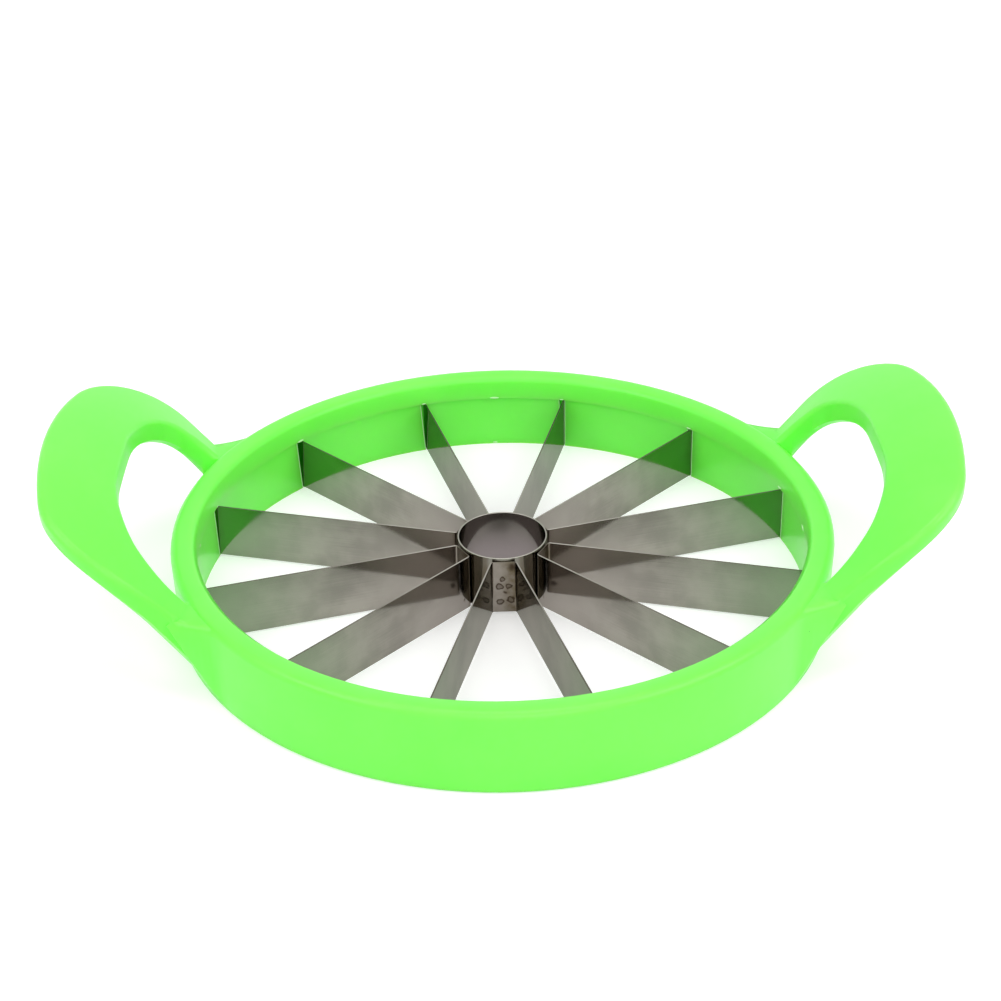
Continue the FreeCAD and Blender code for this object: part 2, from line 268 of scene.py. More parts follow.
@dataclass(frozen=True)
class SteelFinish:
    """Rolled stainless sheet, bright but a little dull, with a painted highlight on its top edge. Heights
    count from its top edge.
    """

    name: str
    grain: bpy.types.NodeTree
    top: float
    light: Colour = (0.322, 0.305, 0.268, 1.0)
    dark: Colour = (0.234, 0.222, 0.195, 1.0)
    # Painted highlight: the top edge is coloured lighter than the sheet.
    painted_edge_highlight: Colour = (0.43, 0.41, 0.37, 1.0)
    glancing: Colour = (0.58, 0.59, 0.56, 1.0)
    line_share: float = 0.24
    cloud_share: float = 0.76
    tone: Fade = Fade(0.37, 0.63)
    roughness: Fade = Fade(0.3, 0.7, 0.13, 0.07)
    edge: Fade = Fade(-0.15 * MM, -0.06 * MM, 0.0, 0.85)
    edge_roughness: float = 0.35
    scratch_depth: float = -0.6
    bump_strength: float = 0.06
    bump_depth: float = 0.03 * MM

    def build(self) -> bpy.types.Material:
        """Make the material.

        Returns:
            The finished material.
        """
        material, build = new_material(self.name)
        surface = build.add("ShaderNodeUVMap", uv_map="UVMap").outputs[0]
        grain = build.add("ShaderNodeGroup", {"Surface": surface}, node_tree=self.grain).outputs
        lines, cloud = grain["Lines"], grain["Cloud"]
        clouded = build.math("MULTIPLY", cloud, self.cloud_share)
        tone = build.math("MULTIPLY_ADD", lines, self.line_share, clouded)
        clean = build.blend(build.fade(tone, self.tone), self.dark, self.light)
        # The colour comes back with stains and painted light: painted shade and a painted highlight on the
        # tube, a painted green reflection on the strips.
        painted_light_and_stains, rim = self.add_stains_and_painted_light(build, surface, cloud, clean)
        # The top edge takes the painted highlight colour that comes back with the marks.
        edge = build.fade(build.split(surface)["Y"], self.edge.moved(self.top))
        rough = build.fade(tone, self.roughness)
        height = build.math("MULTIPLY_ADD", grain["Scratch"], self.scratch_depth, lines)
        relief = {"Strength": self.bump_strength, "Distance": self.bump_depth, "Height": height}
        shader = build.add(
            "ShaderNodeBsdfPrincipled",
            {
                "Base Color": build.blend(edge, painted_light_and_stains, rim),
                "Metallic": 1.0,
                "Roughness": build.math("MULTIPLY_ADD", edge, self.edge_roughness, rough),
                "Specular Tint": self.glancing,
                "Normal": build.add("ShaderNodeBump", relief).outputs[0],
            },
        )
        build.add("ShaderNodeOutputMaterial", {"Surface": shader.outputs[0]})
        return material

    def add_stains_and_painted_light(self, build: Builder, surface: Socket, cloud: Socket, colour: Socket) -> tuple[Socket, Value]:
        """Add the stains and painted light of one kind of sheet. The plain sheet has no stains; its top edge
        takes the painted highlight.

        Args:
            build: The material's builder.
            surface: Distance along the sheet and height.
            cloud: Slow noise.
            colour: The clean steel.

        Returns:
            The colour with its stains and painted light, and the colour of the top edge with its painted
            highlight.
        """
        return colour, self.painted_edge_highlight


@dataclass(frozen=True, kw_only=True)
class TubeSteel(SteelFinish):
    """Steel of the core tube: painted shade outside between the webs; inside, painted shade, a painted
    highlight band near the top and a darker spot.
    """

    middle: float
    # Painted shade: a dark colour on the tube outside, in the narrow gaps between the webs.
    painted_light_and_stains: Colour = (0.10, 0.08, 0.052, 1.0)
    # Painted shade: the inside of the tube is coloured darker.
    painted_inner_shade: Colour = (0.165, 0.148, 0.135, 1.0)
    # Painted highlight: a pinkish band inside the tube near its top.
    painted_inner_highlight: Colour = (0.292, 0.258, 0.256, 1.0)
    # A darker spot on the rear inside wall of the tube, near its top.
    dark_spot_colour: Colour = (0.10, 0.092, 0.08, 1.0)
    between_webs: Fade = Fade(-0.75, -0.2, 0.85, 0.0)
    patches: Fade = Fade(0.35, 0.55, 0.7, 1.0)
    inner_shade_share: float = 0.7
    inner_highlight_band: Fade = Fade(-22 * MM, -4 * MM, 1.0, 0.0)
    dark_spot: Fade = Fade(3.5 * MM, 12 * MM, 0.8, 0.0)
    dark_spot_place: Triple = (-0.5 * MM, 18.5 * MM, -3.5 * MM)
    dark_spot_wobble: float = 6 * MM

    def add_stains_and_painted_light(self, build: Builder, surface: Socket, cloud: Socket, colour: Socket) -> tuple[Socket, Value]:
        """Paint shade on the tube outside between the webs, then paint shade inside, a highlight band near
        the top inside, and a darker spot.

        Args:
            build: The material's builder.
            surface: Distance round the tube and height.
            cloud: Slow noise.
            colour: The clean steel.

        Returns:
            The stained colour, and the colour of the top edge.
        """
        along, height, _ = build.split(surface)
        turn = build.math("MULTIPLY", along, STRIP_COUNT / self.middle)
        webs = build.math("COSINE", build.math("ADD", turn, STRIP_COUNT * QUARTER_TURN))
        # Painted shade between the webs, broken into patches.
        outside = build.math("MULTIPLY", build.fade(webs, self.between_webs), build.fade(cloud, self.patches))
        place = build.place()
        radius = build.vector("LENGTH", build.vector("MULTIPLY", place, FLAT))
        outside = build.math("MULTIPLY", outside, build.math("GREATER_THAN", radius, self.middle))
        inside = build.math("LESS_THAN", radius, self.middle)
        # Painted highlight band inside the tube, a little below its top.
        inner_highlight_band = build.fade(height, self.inner_highlight_band.moved(self.top))
        # The darker spot, with a wobbly outline.
        x, y, depth = self.dark_spot_place
        offset = build.vector("DISTANCE", place, (x, y, self.top + depth))
        dark_spot = build.fade(build.math("MULTIPLY_ADD", cloud, self.dark_spot_wobble, offset), self.dark_spot)
        colour = build.blend(outside, colour, self.painted_light_and_stains)
        # Inside: painted shade, then the painted highlight band, then the darker spot.
        for share, over in (
            (self.inner_shade_share, self.painted_inner_shade),
            (inner_highlight_band, self.painted_inner_highlight),
            (dark_spot, self.dark_spot_colour),
        ):
            colour = build.blend(build.math("MULTIPLY", inside, share), colour, over)
        return colour, self.painted_edge_highlight


WELD_SPOTS = (
    Spot(-0.6 * MM, 17.5 * MM, 1.0 * MM),
    Spot(-1.9 * MM, 13.8 * MM, 1.2 * MM),
    Spot(2.0 * MM, 13.6 * MM, 1.1 * MM),
    Spot(-1.6 * MM, 6.2 * MM, 1.2 * MM),
    Spot(2.8 * MM, 7.2 * MM, 1.3 * MM),
)
BURNT_SPOTS = (
    Spot(3.7 * MM, 23.4 * MM, 2.5 * MM),
    Spot(0.4 * MM, 10.6 * MM, 1.0 * MM),
    Spot(7.5 * MM, 6.0 * MM, 1.8 * MM),
    Spot(-7.8 * MM, 6.4 * MM, 1.6 * MM),
)


@dataclass(frozen=True)
class BladeSteel(SteelFinish):
    """Steel of the strips: lighter near the hub, soot and weld marks at the web, a painted green reflection
    near the ring.
    """

    # A darker colour of the top edge at the web and towards the ring.
    dark_edge: Colour = (0.12, 0.104, 0.084, 1.0)
    # A lighter colour near the hub.
    near_hub_colour: Colour = (0.375, 0.341, 0.314, 1.0)
    # Painted reflection: the green of the ring, painted onto the outer part of the strips.
    painted_green_reflection: Colour = (0.212, 0.282, 0.174, 1.0)
    sooty: Colour = (0.118, 0.094, 0.058, 1.0)
    burnt: Colour = (0.035, 0.022, 0.012, 1.0)
    near_hub_reach: Fade = Fade(12 * MM, 58 * MM, 0.8, 0.0)
    green_reflection_reach: Fade = Fade(45 * MM, 125 * MM, 0.0, 0.85)
    web: Fade = Fade(4.5 * MM, 8.0 * MM, 1.0, 0.0)
    web_lean: Fade = Fade(-3 * MM, 3.5 * MM, 0.45, 1.0)
    soot: Noise = Noise(260.0, 4.0)
    soot_share: Fade = Fade(0.3, 0.7, 0.65, 1.0)
    shake: Noise = Noise(420.0, 1.0)
    shake_reach: float = 1.8 * MM
    wobble: float = 0.8 * MM
    ring_line: Fade = Fade(0.1, 0.5, 0.9, 0.0)
    ring_core: Fade = Fade(0.8, 1.1, 0.45, 0.0)
    blot: Fade = Fade(0.6, 1.7, 0.9, 0.0)
    front: float = -17 * MM
    far_edge: Fade = Fade(15 * MM, 85 * MM)
    web_edge: Fade = Fade(4.4 * MM, 5.6 * MM, 1.0, 0.0)

    def add_stains_and_painted_light(self, build: Builder, surface: Socket, cloud: Socket, colour: Socket) -> tuple[Socket, Value]:
        """Make a strip lighter near the hub, add soot and spot weld marks, paint the ring's green reflection
        towards its outer end, and give its top edge a painted highlight that turns darker at web and ring.

        Args:
            build: The material's builder.
            surface: Distance along the strip and height.
            cloud: Slow noise.
            colour: The clean steel.

        Returns:
            The colour with its stains and painted reflection, and the colour of the top edge with its painted
            highlight.
        """
        along = build.split(surface)["X"]
        away = build.math("ABSOLUTE", along)
        # Lighter towards the hub.
        colour = build.blend(build.fade(away, self.near_hub_reach), colour, self.near_hub_colour)
        # Painted green reflection of the ring towards the strip's outer end.
        colour = build.blend(build.fade(away, self.green_reflection_reach), colour, self.painted_green_reflection)
        web = build.math("MULTIPLY", build.fade(away, self.web), build.fade(along, self.web_lean))
        soot = build.fade(build.noise(surface, self.soot), self.soot_share)
        colour = build.blend(build.math("MULTIPLY", web, soot), colour, self.sooty)
        colour = build.blend(self.burns(build, surface, cloud), colour, self.burnt)
        # Top edge: painted highlight near the hub, darker at the web and towards the ring.
        rim = build.blend(build.fade(away, self.far_edge), self.painted_edge_highlight, self.dark_edge)
        return colour, build.blend(build.fade(away, self.web_edge), rim, self.dark_edge)

    def burns(self, build: Builder, surface: Socket, cloud: Socket) -> Socket:
        """Find where spot welds left a ring on a web, and where the front web is burnt.

        Args:
            build: The material's builder.
            surface: Distance along the strip and height.
            cloud: Slow noise.

        Returns:
            How dark the mark is, from 0 to 1.
        """
        jitter = build.vector("ADD", build.noise(surface, self.shake, "Color"), (-0.5, -0.5, -0.5))
        shaken = build.vector("ADD", surface, build.vector("SCALE", jitter, self.shake_reach))
        flat = build.vector("MULTIPLY", shaken, FLAT)
        marks: Value = 0.0
        for spot in WELD_SPOTS:
            offset = build.vector("DISTANCE", flat, (spot.along, spot.height, 0.0))
            offset = build.math("MULTIPLY_ADD", cloud, self.wobble, offset)
            share = build.math("DIVIDE", build.math("SUBTRACT", offset, self.wobble / 2), spot.radius)
            line = build.math("ABSOLUTE", build.math("SUBTRACT", share, 1.0))
            marks = build.math("MAXIMUM", marks, build.fade(line, self.ring_line))
            marks = build.math("MAXIMUM", marks, build.fade(share, self.ring_core))
        front = build.math("LESS_THAN", build.split(build.place())["Y"], self.front)
        for spot in BURNT_SPOTS:
            offset = build.vector("DISTANCE", flat, (spot.along, spot.height, 0.0))
            offset = build.math("MULTIPLY_ADD", cloud, spot.radius, offset)
            share = build.math("DIVIDE", offset, spot.radius)
            marks = build.math("MAXIMUM", marks, build.math("MULTIPLY", front, build.fade(share, self.blot)))
        return marks


@dataclass(frozen=True)
class PlasticFinish:
    """Smooth polypropylene that lets a little light in, with a few dark specks."""

    name: str = "green_plastic"
    colour: Colour = (0.195, 0.975, 0.092, 1.0)
    deep: Colour = (0.18, 0.96, 0.082, 1.0)
    speck: Colour = (0.05, 0.16, 0.03, 1.0)
    seep: float = 0.6
    seep_colour: Triple = (0.6, 1.0, 0.25)
    seep_depth: float = 10 * MM
    cloud: Noise = Noise(22.0, 3.0)
    cloud_tone: Fade = Fade(0.35, 0.65)
    skin: Noise = Noise(350.0)
    wave: Noise = Noise(45.0, 1.0)
    speck_scale: float = 42.0
    speck_rarity: float = 0.93
    speck_size: Fade = Fade(0.012, 0.03, 0.75, 0.0)
    roughness: float = 0.26
    skin_roughness: float = 0.08
    skin_height: float = 0.01
    bump_strength: float = 0.2
    bump_depth: float = 0.12 * MM
    refraction: float = 1.49
    gloss: float = 0.4

    def build(self) -> bpy.types.Material:
        """Make the material.

        Returns:
            The finished material.
        """
        material, build = new_material(self.name)
        place = build.place()
        cloud, skin, wave = (build.noise(place, noise) for noise in (self.cloud, self.skin, self.wave))
        cell = build.add("ShaderNodeTexVoronoi", {"Vector": place, "Scale": self.speck_scale}).outputs
        chosen = build.math("GREATER_THAN", build.split(cell["Color"])["X"], self.speck_rarity)
        speck = build.math("MULTIPLY", chosen, build.fade(cell["Distance"], self.speck_size))
        clear = build.blend(build.fade(cloud, self.cloud_tone), self.deep, self.colour)
        height = build.math("MULTIPLY_ADD", skin, self.skin_height, wave)
        relief = {"Strength": self.bump_strength, "Distance": self.bump_depth, "Height": height}
        shader = build.add(
            "ShaderNodeBsdfPrincipled",
            {
                "Base Color": build.blend(speck, clear, self.speck),
                "Roughness": build.math("MULTIPLY_ADD", skin, self.skin_roughness, self.roughness),
                "IOR": self.refraction,
                "Specular IOR Level": self.gloss,
                "Subsurface Weight": self.seep,
                "Subsurface Radius": self.seep_colour,
                "Subsurface Scale": self.seep_depth,
                "Normal": build.add("ShaderNodeBump", relief).outputs[0],
            },
        )
        build.add("ShaderNodeOutputMaterial", {"Surface": shader.outputs[0]})
        return material


# Pale green of the small nubs, gate marks and slot burrs; on the nubs over the slots it is a painted
# highlight.
PALE_MARKS_AND_HIGHLIGHT = PlasticFinish("pale_marks_and_highlight", (0.60, 0.97, 0.48, 1.0), (0.50, 0.95, 0.40, 1.0), seep=0.0)


@dataclass
class PlateSection:
    """The upright section of a sheet: a rectangle with softened edges."""

    thickness: float
    height: float
    foot: float
    edge: float
    support: float = 0.05 * MM
    steps: int = 3

    def points(self) -> list[tuple[float, float]]:
        """List the section's points.

        Returns:
            Pairs of offset from the sheet's middle and height, counter-clockwise.
        """
        half = self.thickness / 2 - self.edge
        low = self.foot + self.edge
        high = self.foot + self.height - self.edge
        found: list[tuple[float, float]] = []
        for number, (x, z) in enumerate(((half, low), (half, high), (-half, high), (-half, low))):
            start = (number - 1) * QUARTER_TURN
            end = start + QUARTER_TURN
            arc = []
            for step in range(self.steps + 1):
                angle = start + step * QUARTER_TURN / self.steps
                arc.append((x + self.edge * math.cos(angle), z + self.edge * math.sin(angle)))
            (first_x, first_z), (last_x, last_z) = arc[0], arc[-1]
            found.append((first_x + self.support * math.sin(start), first_z - self.support * math.cos(start)))
            found.extend(arc)
            found.append((last_x - self.support * math.sin(end), last_z + self.support * math.cos(end)))
        return found


@dataclass
class Station:
    """A place on a sheet's middle line, seen from above."""

    place: Vector
    side: Vector
    run: float
    cut: float = 0.0
    inset: float = 0.0

    def mirrored(self) -> "Station":
        """Give the same place on the other side of the X axis."""
        place, side = (Vector((v.x, -v.y)) for v in (self.place, self.side))
        return Station(place, side, -self.run, self.cut, self.inset)

    def corner(self, offset: float, height: float, middle: float) -> Triple:
        """Find where a point of the section comes to lie.

        Args:
            offset: The point's offset from the sheet's middle.
            height: The point's height.
            middle: Height of the section's middle.

        Returns:
            The point, lowered by the cut and drawn in by the inset.
        """
        rise = height - middle
        if rise > 0:
            rise -= self.cut
        up, across = (math.copysign(max(0.0, abs(v) - self.inset), v) for v in (rise, offset))
        place = self.place + self.side * across
        return place.x, place.y, middle + up


def sweep(name: str, section: PlateSection, stations: list[Station], closed: bool) -> bpy.types.Mesh:
    """Carry a section along a path.

    Args:
        name: The mesh's name.
        section: The upright section.
        stations: The places it passes, in order.
        closed: Whether the last station joins the first.

    Returns:
        A mesh with a UV map that holds the run and the height in metres.
    """
    outline = section.points()
    middle = section.foot + section.height / 2
    verts = [station.corner(*point, middle) for station in stations for point in outline]
    count = len(outline)
    runs = [station.run for station in stations]
    if closed:
        runs.append(2 * runs[-1] - runs[-2])
    faces = []
    face_runs = []
    for here in range(len(runs) - 1):
        low, high = here * count, (here + 1) % len(stations) * count
        for point in range(count):
            after = (point + 1) % count
            faces.append((low + point, low + after, high + after, high + point))
            face_runs.append((runs[here], runs[here], runs[here + 1], runs[here + 1]))
    if not closed:
        last = len(verts) - count
        faces += [tuple(range(count - 1, -1, -1)), tuple(range(last, last + count))]
        face_runs += [(runs[0],) * count, (runs[-1],) * count]
    mesh = bpy.data.meshes.new(name)
    mesh.from_pydata(verts, [], faces)
    chart = mesh.uv_layers.new(name="UVMap")
    for polygon, corner_runs in zip(mesh.polygons, face_runs):
        polygon.use_smooth = True
        for loop, run in zip(polygon.loop_indices, corner_runs):
            chart.data[loop].uv = (run, mesh.vertices[mesh.loops[loop].vertex_index].co.z)
    return mesh


def add_object(name: str, data: bpy.types.ID) -> bpy.types.Object:
    """Put a mesh, lamp or camera in the scene.

    Args:
        name: The object's name.
        data: What it shows.

    Returns:
        The new object, at the origin.
    """
    thing = bpy.data.objects.new(name, data)
    bpy.context.scene.collection.objects.link(thing)
    return thing


def add_piece(
    name: str, mesh: bpy.types.Mesh, material: bpy.types.Material, slot: Slot, *nodes: str
) -> bpy.types.Object:
    """Put a finished mesh in the scene as a piece.

    Args:
        name: The piece's name.
        mesh: Its mesh, already in place.
        material: Its finish.
        slot: Its slot in the record; not used.
        *nodes: The CAD nodes it stands for.

    Returns:
        The piece.
    """
    piece = add_object(name, mesh)
    mesh.materials.clear()
    mesh.materials.append(material)
    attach(piece, "root")
    if nodes:
        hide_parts(*nodes)
    log.info("%s: %d faces", name, len(mesh.polygons))
    return piece


def new_shape_tree(name: str, inputs: dict[str, str]) -> tuple:
    """Start a Geometry Nodes tree that takes a Geometry, more inputs and a Finish."""
    sockets = {"Geometry": "Geometry"} | inputs | {"Finish": "Material"}
    return new_group(name, "Geometry", sockets, {"Geometry": "Geometry"})


def end_shape_tree(build: Builder, copies: Socket, finish: Socket, result: Socket) -> bpy.types.NodeTree:
    """End a Geometry Nodes tree with real geometry in its finish.

    Args:
        build: The tree's builder.
        copies: The geometry.
        finish: The Finish input.
        result: The socket of the Group Output.

    Returns:
        The tree.
    """
    real = build.add("GeometryNodeRealizeInstances", {"Geometry": copies}).outputs[0]
    dressed = build.add("GeometryNodeSetMaterial", {"Geometry": real, "Material": finish})
    build.tree.links.new(dressed.outputs[0], result)
    return build.tree


def bake_nodes(
    name: str, mesh: bpy.types.Mesh, tree: bpy.types.NodeTree, values: dict[str, object]
) -> bpy.types.Mesh:
    """Run a Geometry Nodes tree and keep the result as a plain mesh.

    Args:
        name: The new mesh's name.
        mesh: What the tree starts from.
        tree: The tree.
        values: The tree's inputs by name.

    Returns:
        The new mesh.
    """
    holder = add_object(name, mesh)
    modifier = holder.modifiers.new("shape", "NODES")
    modifier.node_group = tree
    for item in tree.interface.items_tree:
        if item.item_type == "SOCKET" and item.in_out == "INPUT" and item.name in values:
            modifier[item.identifier] = values[item.name]
    bpy.context.view_layer.update()
    ready = holder.evaluated_get(bpy.context.evaluated_depsgraph_get())
    made = bpy.data.meshes.new_from_object(ready)
    made.name = name
    bpy.data.objects.remove(holder)
    return made


@dataclass
class CoreTube:
    """The steel tube in the middle."""

    finish: bpy.types.Material
    edge: float = 0.22 * MM
    steps: int = 160

    def build(self) -> None:
        """Make the tube over its CAD node."""
        low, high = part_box("core_tube")
        radius = high.x - TUBE_WALL / 2
        section = PlateSection(TUBE_WALL, high.z - low.z, low.z, self.edge)
        stations = []
        for number in range(self.steps):
            turn = FULL_TURN * number / self.steps
            side = Vector((math.cos(turn), math.sin(turn)))
            stations.append(Station(side * radius, side, radius * turn))
        mesh = sweep("tube", section, stations, closed=True)
        mesh.flip_normals()
        add_piece("tube", mesh, self.finish, Slot.TUBE, "core_tube")


@dataclass
class BladeStrips:
    """Six folded strips, each a web at the tube and two radial blades.

    A blade's end face is drawn in by end_inset of the edge over end_back of the edge.
    """

    finish: bpy.types.Material
    thickness: float = 0.6 * MM
    web_reach: float = 19.55 * MM
    blade_reach: float = 133.5 * MM
    fold: float = 1.3 * MM
    fold_steps: int = 8
    corner: float = 3.5 * MM
    corner_steps: int = 10
    edge: float = 0.12 * MM
    end_back: float = 0.2
    end_inset: float = 0.8

    def stations(self) -> list[Station]:
        """Lay out one strip's middle line.

        Returns:
            Stations from one blade's end over the web to the other's.
        """
        half = QUARTER_TURN / STRIP_COUNT
        turn = QUARTER_TURN - half
        web = self.web_reach * math.tan(half) - self.fold * math.tan(turn / 2)
        inward = Vector((-1.0, 0.0))
        found = [Station(Vector((self.web_reach, y)), inward, y) for y in (0.0, web - self.edge)]
        centre = Vector((self.web_reach + self.fold, web))
        for step in range(self.fold_steps + 1):
            bent = turn * step / self.fold_steps
            side = Vector((math.cos(math.pi - bent), math.sin(math.pi - bent)))
            found.append(Station(centre + side * self.fold, side, web + self.fold * bent))
        leg = Vector((math.cos(half), math.sin(half)))
        start = found[-1]
        reach = (leg * self.blade_reach - start.place).length
        for distance, cut, inset in self.leg_marks(reach):
            found.append(Station(start.place + leg * distance, start.side, start.run + distance, cut, inset))
        return [station.mirrored() for station in reversed(found[1:])] + found

    def leg_marks(self, reach: float) -> list[Triple]:
        """List the stations of a leg, with its rounded upper and lower corner.

        Args:
            reach: The leg's length from the fold.

        Returns:
            Distance from the fold, cut and inset of each.
        """
        marks = [(self.edge, 0.0, 0.0), (reach - self.corner, 0.0, 0.0)]
        for step in range(1, self.corner_steps):
            angle = QUARTER_TURN * step / self.corner_steps
            cut = self.corner * (1 - math.cos(angle))
            marks.append((reach - self.corner * (1 - math.sin(angle)), cut, 0.0))
        marks.append((reach - self.edge * self.end_back, self.corner, 0.0))
        marks.append((reach, self.corner, self.edge * self.end_inset))
        return marks

    def turning_tree(self) -> bpy.types.NodeTree:
        """Make the tree that turns a strip into its place round the tube.

        Returns:
            A Geometry Nodes tree with Turn and Finish inputs.
        """
        build, given, result = new_shape_tree("strip_in_place", {"Turn": "Float"})
        moving = {"Geometry": given["Geometry"], "Rotation": build.upright(given["Turn"])}
        moved = build.add("GeometryNodeTransform", moving).outputs[0]
        return end_shape_tree(build, moved, given["Finish"], result["Geometry"])

    def build(self) -> None:
        """Make the six strips over their CAD nodes."""
        low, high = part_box("blade_strip_1")
        section = PlateSection(self.thickness, high.z - low.z, low.z, self.edge)
        flat = sweep("strip", section, self.stations(), closed=False)
        tree = self.turning_tree()
        for number in range(1, STRIP_COUNT + 1):
            turn = FULL_TURN * number / STRIP_COUNT - QUARTER_TURN
            name = f"strip_{number}"
            mesh = bake_nodes(name, flat, tree, {"Turn": turn, "Finish": self.finish})
            add_piece(name, mesh, self.finish, Slot.BLADE, f"blade_strip_{number}")


@dataclass(frozen=True)
class NubRow:
    """A row of small nubs on the inside of the ring, with their half sizes."""

    name: str
    count: int
    radius: float
    height: float
    start: float
    size: Triple


@dataclass
class Moulding:
    """The plastic frame: ring and handles, with the small marks that its mould leaves, and pale nubs over the
    slots that paint small highlights.
    """

    finish: bpy.types.Material
    pale_finish: bpy.types.Material
    same_point: float = 0.001 * MM
    crease: float = math.radians(52.0)
    shading_weight: int = 60
    slots: int = 12
    gates: int = 4
    wall: float = 129.2 * MM
    foot_wall: float = 130.75 * MM
    wall_lean: float = 0.3 * MM
    lip: float = 26.05 * MM
    slot_foot: float = 1.0 * MM
    slot_half: float = 0.53 * MM
    slot_taper: float = 1.9 * MM
    foot_taper: float = 0.15 * MM
    burr: float = 0.4 * MM
    burr_drop: float = 0.1 * MM
    burr_steps: int = 12
    burr_sides: int = 8
    slot_highlight_shift: float = 0.95 * MM
    slot_highlight_rise: float = 0.3 * MM
    gate_rise: float = 0.2 * MM
    foot_gate_height: float = 0.7 * MM
    slot_highlight_size: Triple = (0.3 * MM, 1.5 * MM, 0.4 * MM)
    lip_gate_size: Triple = (0.3 * MM, 2.6 * MM, 0.6 * MM)
    foot_gate_size: Triple = (0.4 * MM, 1.4 * MM, 0.5 * MM)
    nub_segments: int = 12
    nub_rings: int = 8
    nub_least: float = 0.6
    nub_most: float = 1.25
    nub_seed: int = 7

    def build(self) -> None:
        """Make the moulding and its marks."""
        self.build_shell()
        self.build_marks()
        self.build_burrs()

    def build_shell(self) -> None:
        """Make the frame from a welded copy of its CAD mesh, shaded as one smooth skin."""
        shape = bmesh.new()
        shape.from_mesh(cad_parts["frame"].data)
        bmesh.ops.remove_doubles(shape, verts=shape.verts, dist=self.same_point)
        for face in shape.faces:
            face.smooth = True
        for edge in shape.edges:
            edge.smooth = edge.is_manifold and edge.calc_face_angle() < self.crease
        mesh = bpy.data.meshes.new("moulding")
        shape.to_mesh(mesh)
        shape.free()
        piece = add_piece("moulding", mesh, self.finish, Slot.PLASTIC, "frame")
        modifier = piece.modifiers.new("even shading", "WEIGHTED_NORMAL")
        modifier.keep_sharp = True
        modifier.weight = self.shading_weight

    def marks_tree(self) -> bpy.types.NodeTree:
        """Make the tree that sets small oval nubs round the inside of the ring.

        Returns:
            A Geometry Nodes tree with Count, Radius, Height, Start, Size and Finish inputs.
        """
        build, given, result = new_shape_tree(
            "marks_round_ring",
            {"Count": "Int", "Radius": "Float", "Height": "Float", "Start": "Float", "Size": "Vector"},
        )
        circle = build.add("GeometryNodeMeshCircle", {"Vertices": given["Count"], "Radius": given["Radius"]})
        placed = build.add(
            "GeometryNodeTransform",
            {
                "Geometry": circle.outputs[0],
                "Translation": build.upright(given["Height"]),
                "Rotation": build.upright(given["Start"]),
            },
        )
        x, y, _ = build.split(build.add("GeometryNodeInputPosition").outputs[0])
        ball = {"Segments": self.nub_segments, "Rings": self.nub_rings, "Radius": 1.0}
        rough_ball = build.add("GeometryNodeMeshUVSphere", ball).outputs[0]
        smooth_ball = build.add("GeometryNodeSetShadeSmooth", {"Geometry": rough_ball}).outputs[0]
        draw = {2: self.nub_least, 3: self.nub_most, 8: self.nub_seed}
        drawn = build.add("FunctionNodeRandomValue", draw, data_type="FLOAT").outputs[1]
        copies = build.add(
            "GeometryNodeInstanceOnPoints",
            {
                "Points": placed.outputs[0],
                "Instance": smooth_ball,
                "Rotation": build.upright(build.math("ARCTAN2", y, x)),
                "Scale": build.vector("SCALE", given["Size"], drawn),
            },
        )
        return end_shape_tree(build, copies.outputs[0], given["Finish"], result["Geometry"])

    def build_marks(self) -> None:
        """Make the pale nubs over the slots, which paint small highlights, and the gate marks on lip and
        foot.
        """
        tree = self.marks_tree()
        over_slot = math.pi / self.slots + self.slot_highlight_shift / self.wall
        slot_highlight_height = self.lip + self.slot_highlight_rise
        gate_height = self.lip + self.gate_rise
        rows = (
            # The nubs over the slots are pale marks that paint small highlights.
            NubRow("slot_top_highlights", self.slots, self.wall, slot_highlight_height, over_slot, self.slot_highlight_size),
            NubRow("lip_gates", self.gates, self.wall, gate_height, 0.0, self.lip_gate_size),
            NubRow("foot_gates", self.gates, self.foot_wall, self.foot_gate_height, 0.0, self.foot_gate_size),
        )
        for row in rows:
            values = {
                "Count": row.count,
                "Radius": row.radius,
                "Height": row.height,
                "Start": row.start,
                "Size": row.size,
                "Finish": self.pale_finish,
            }
            mesh = bake_nodes(row.name, bpy.data.meshes.new(row.name), tree, values)
            add_piece(row.name, mesh, self.pale_finish, Slot.PLASTIC)

    def slot_outline(self) -> list[Triple]:
        """Follow the rim of one slot.

        Returns:
            Points up the sloping side, along the top and down the other side.
        """
        top = self.lip - self.burr_drop
        corners = (
            (self.slot_half + self.foot_taper, self.slot_foot),
            (self.slot_half + self.slot_taper, top),
            (-self.slot_half, top),
            (-self.slot_half, self.slot_foot),
        )
        points = []
        for (y0, z0), (y1, z1) in zip(corners, corners[1:]):
            for step in range(self.burr_steps):
                share = step / self.burr_steps
                y, z = y0 + (y1 - y0) * share, z0 + (z1 - z0) * share
                points.append((self.foot_wall - self.wall_lean * z / self.lip, y, z))
        points.append((self.foot_wall, -self.slot_half, self.slot_foot))
        return points

    def build_burrs(self) -> None:
        """Make the fine burr that the mould leaves round each slot."""
        points = self.slot_outline()
        path = bpy.data.meshes.new("slot_outline")
        path.from_pydata(points, [(i, i + 1) for i in range(len(points) - 1)], [])
        values = {
            "Count": self.slots,
            "Start": math.pi / self.slots,
            "Thickness": self.burr,
            "Finish": self.pale_finish,
        }
        mesh = bake_nodes("slot_burrs", path, self.burrs_tree(), values)
        add_piece("slot_burrs", mesh, self.pale_finish, Slot.PLASTIC)

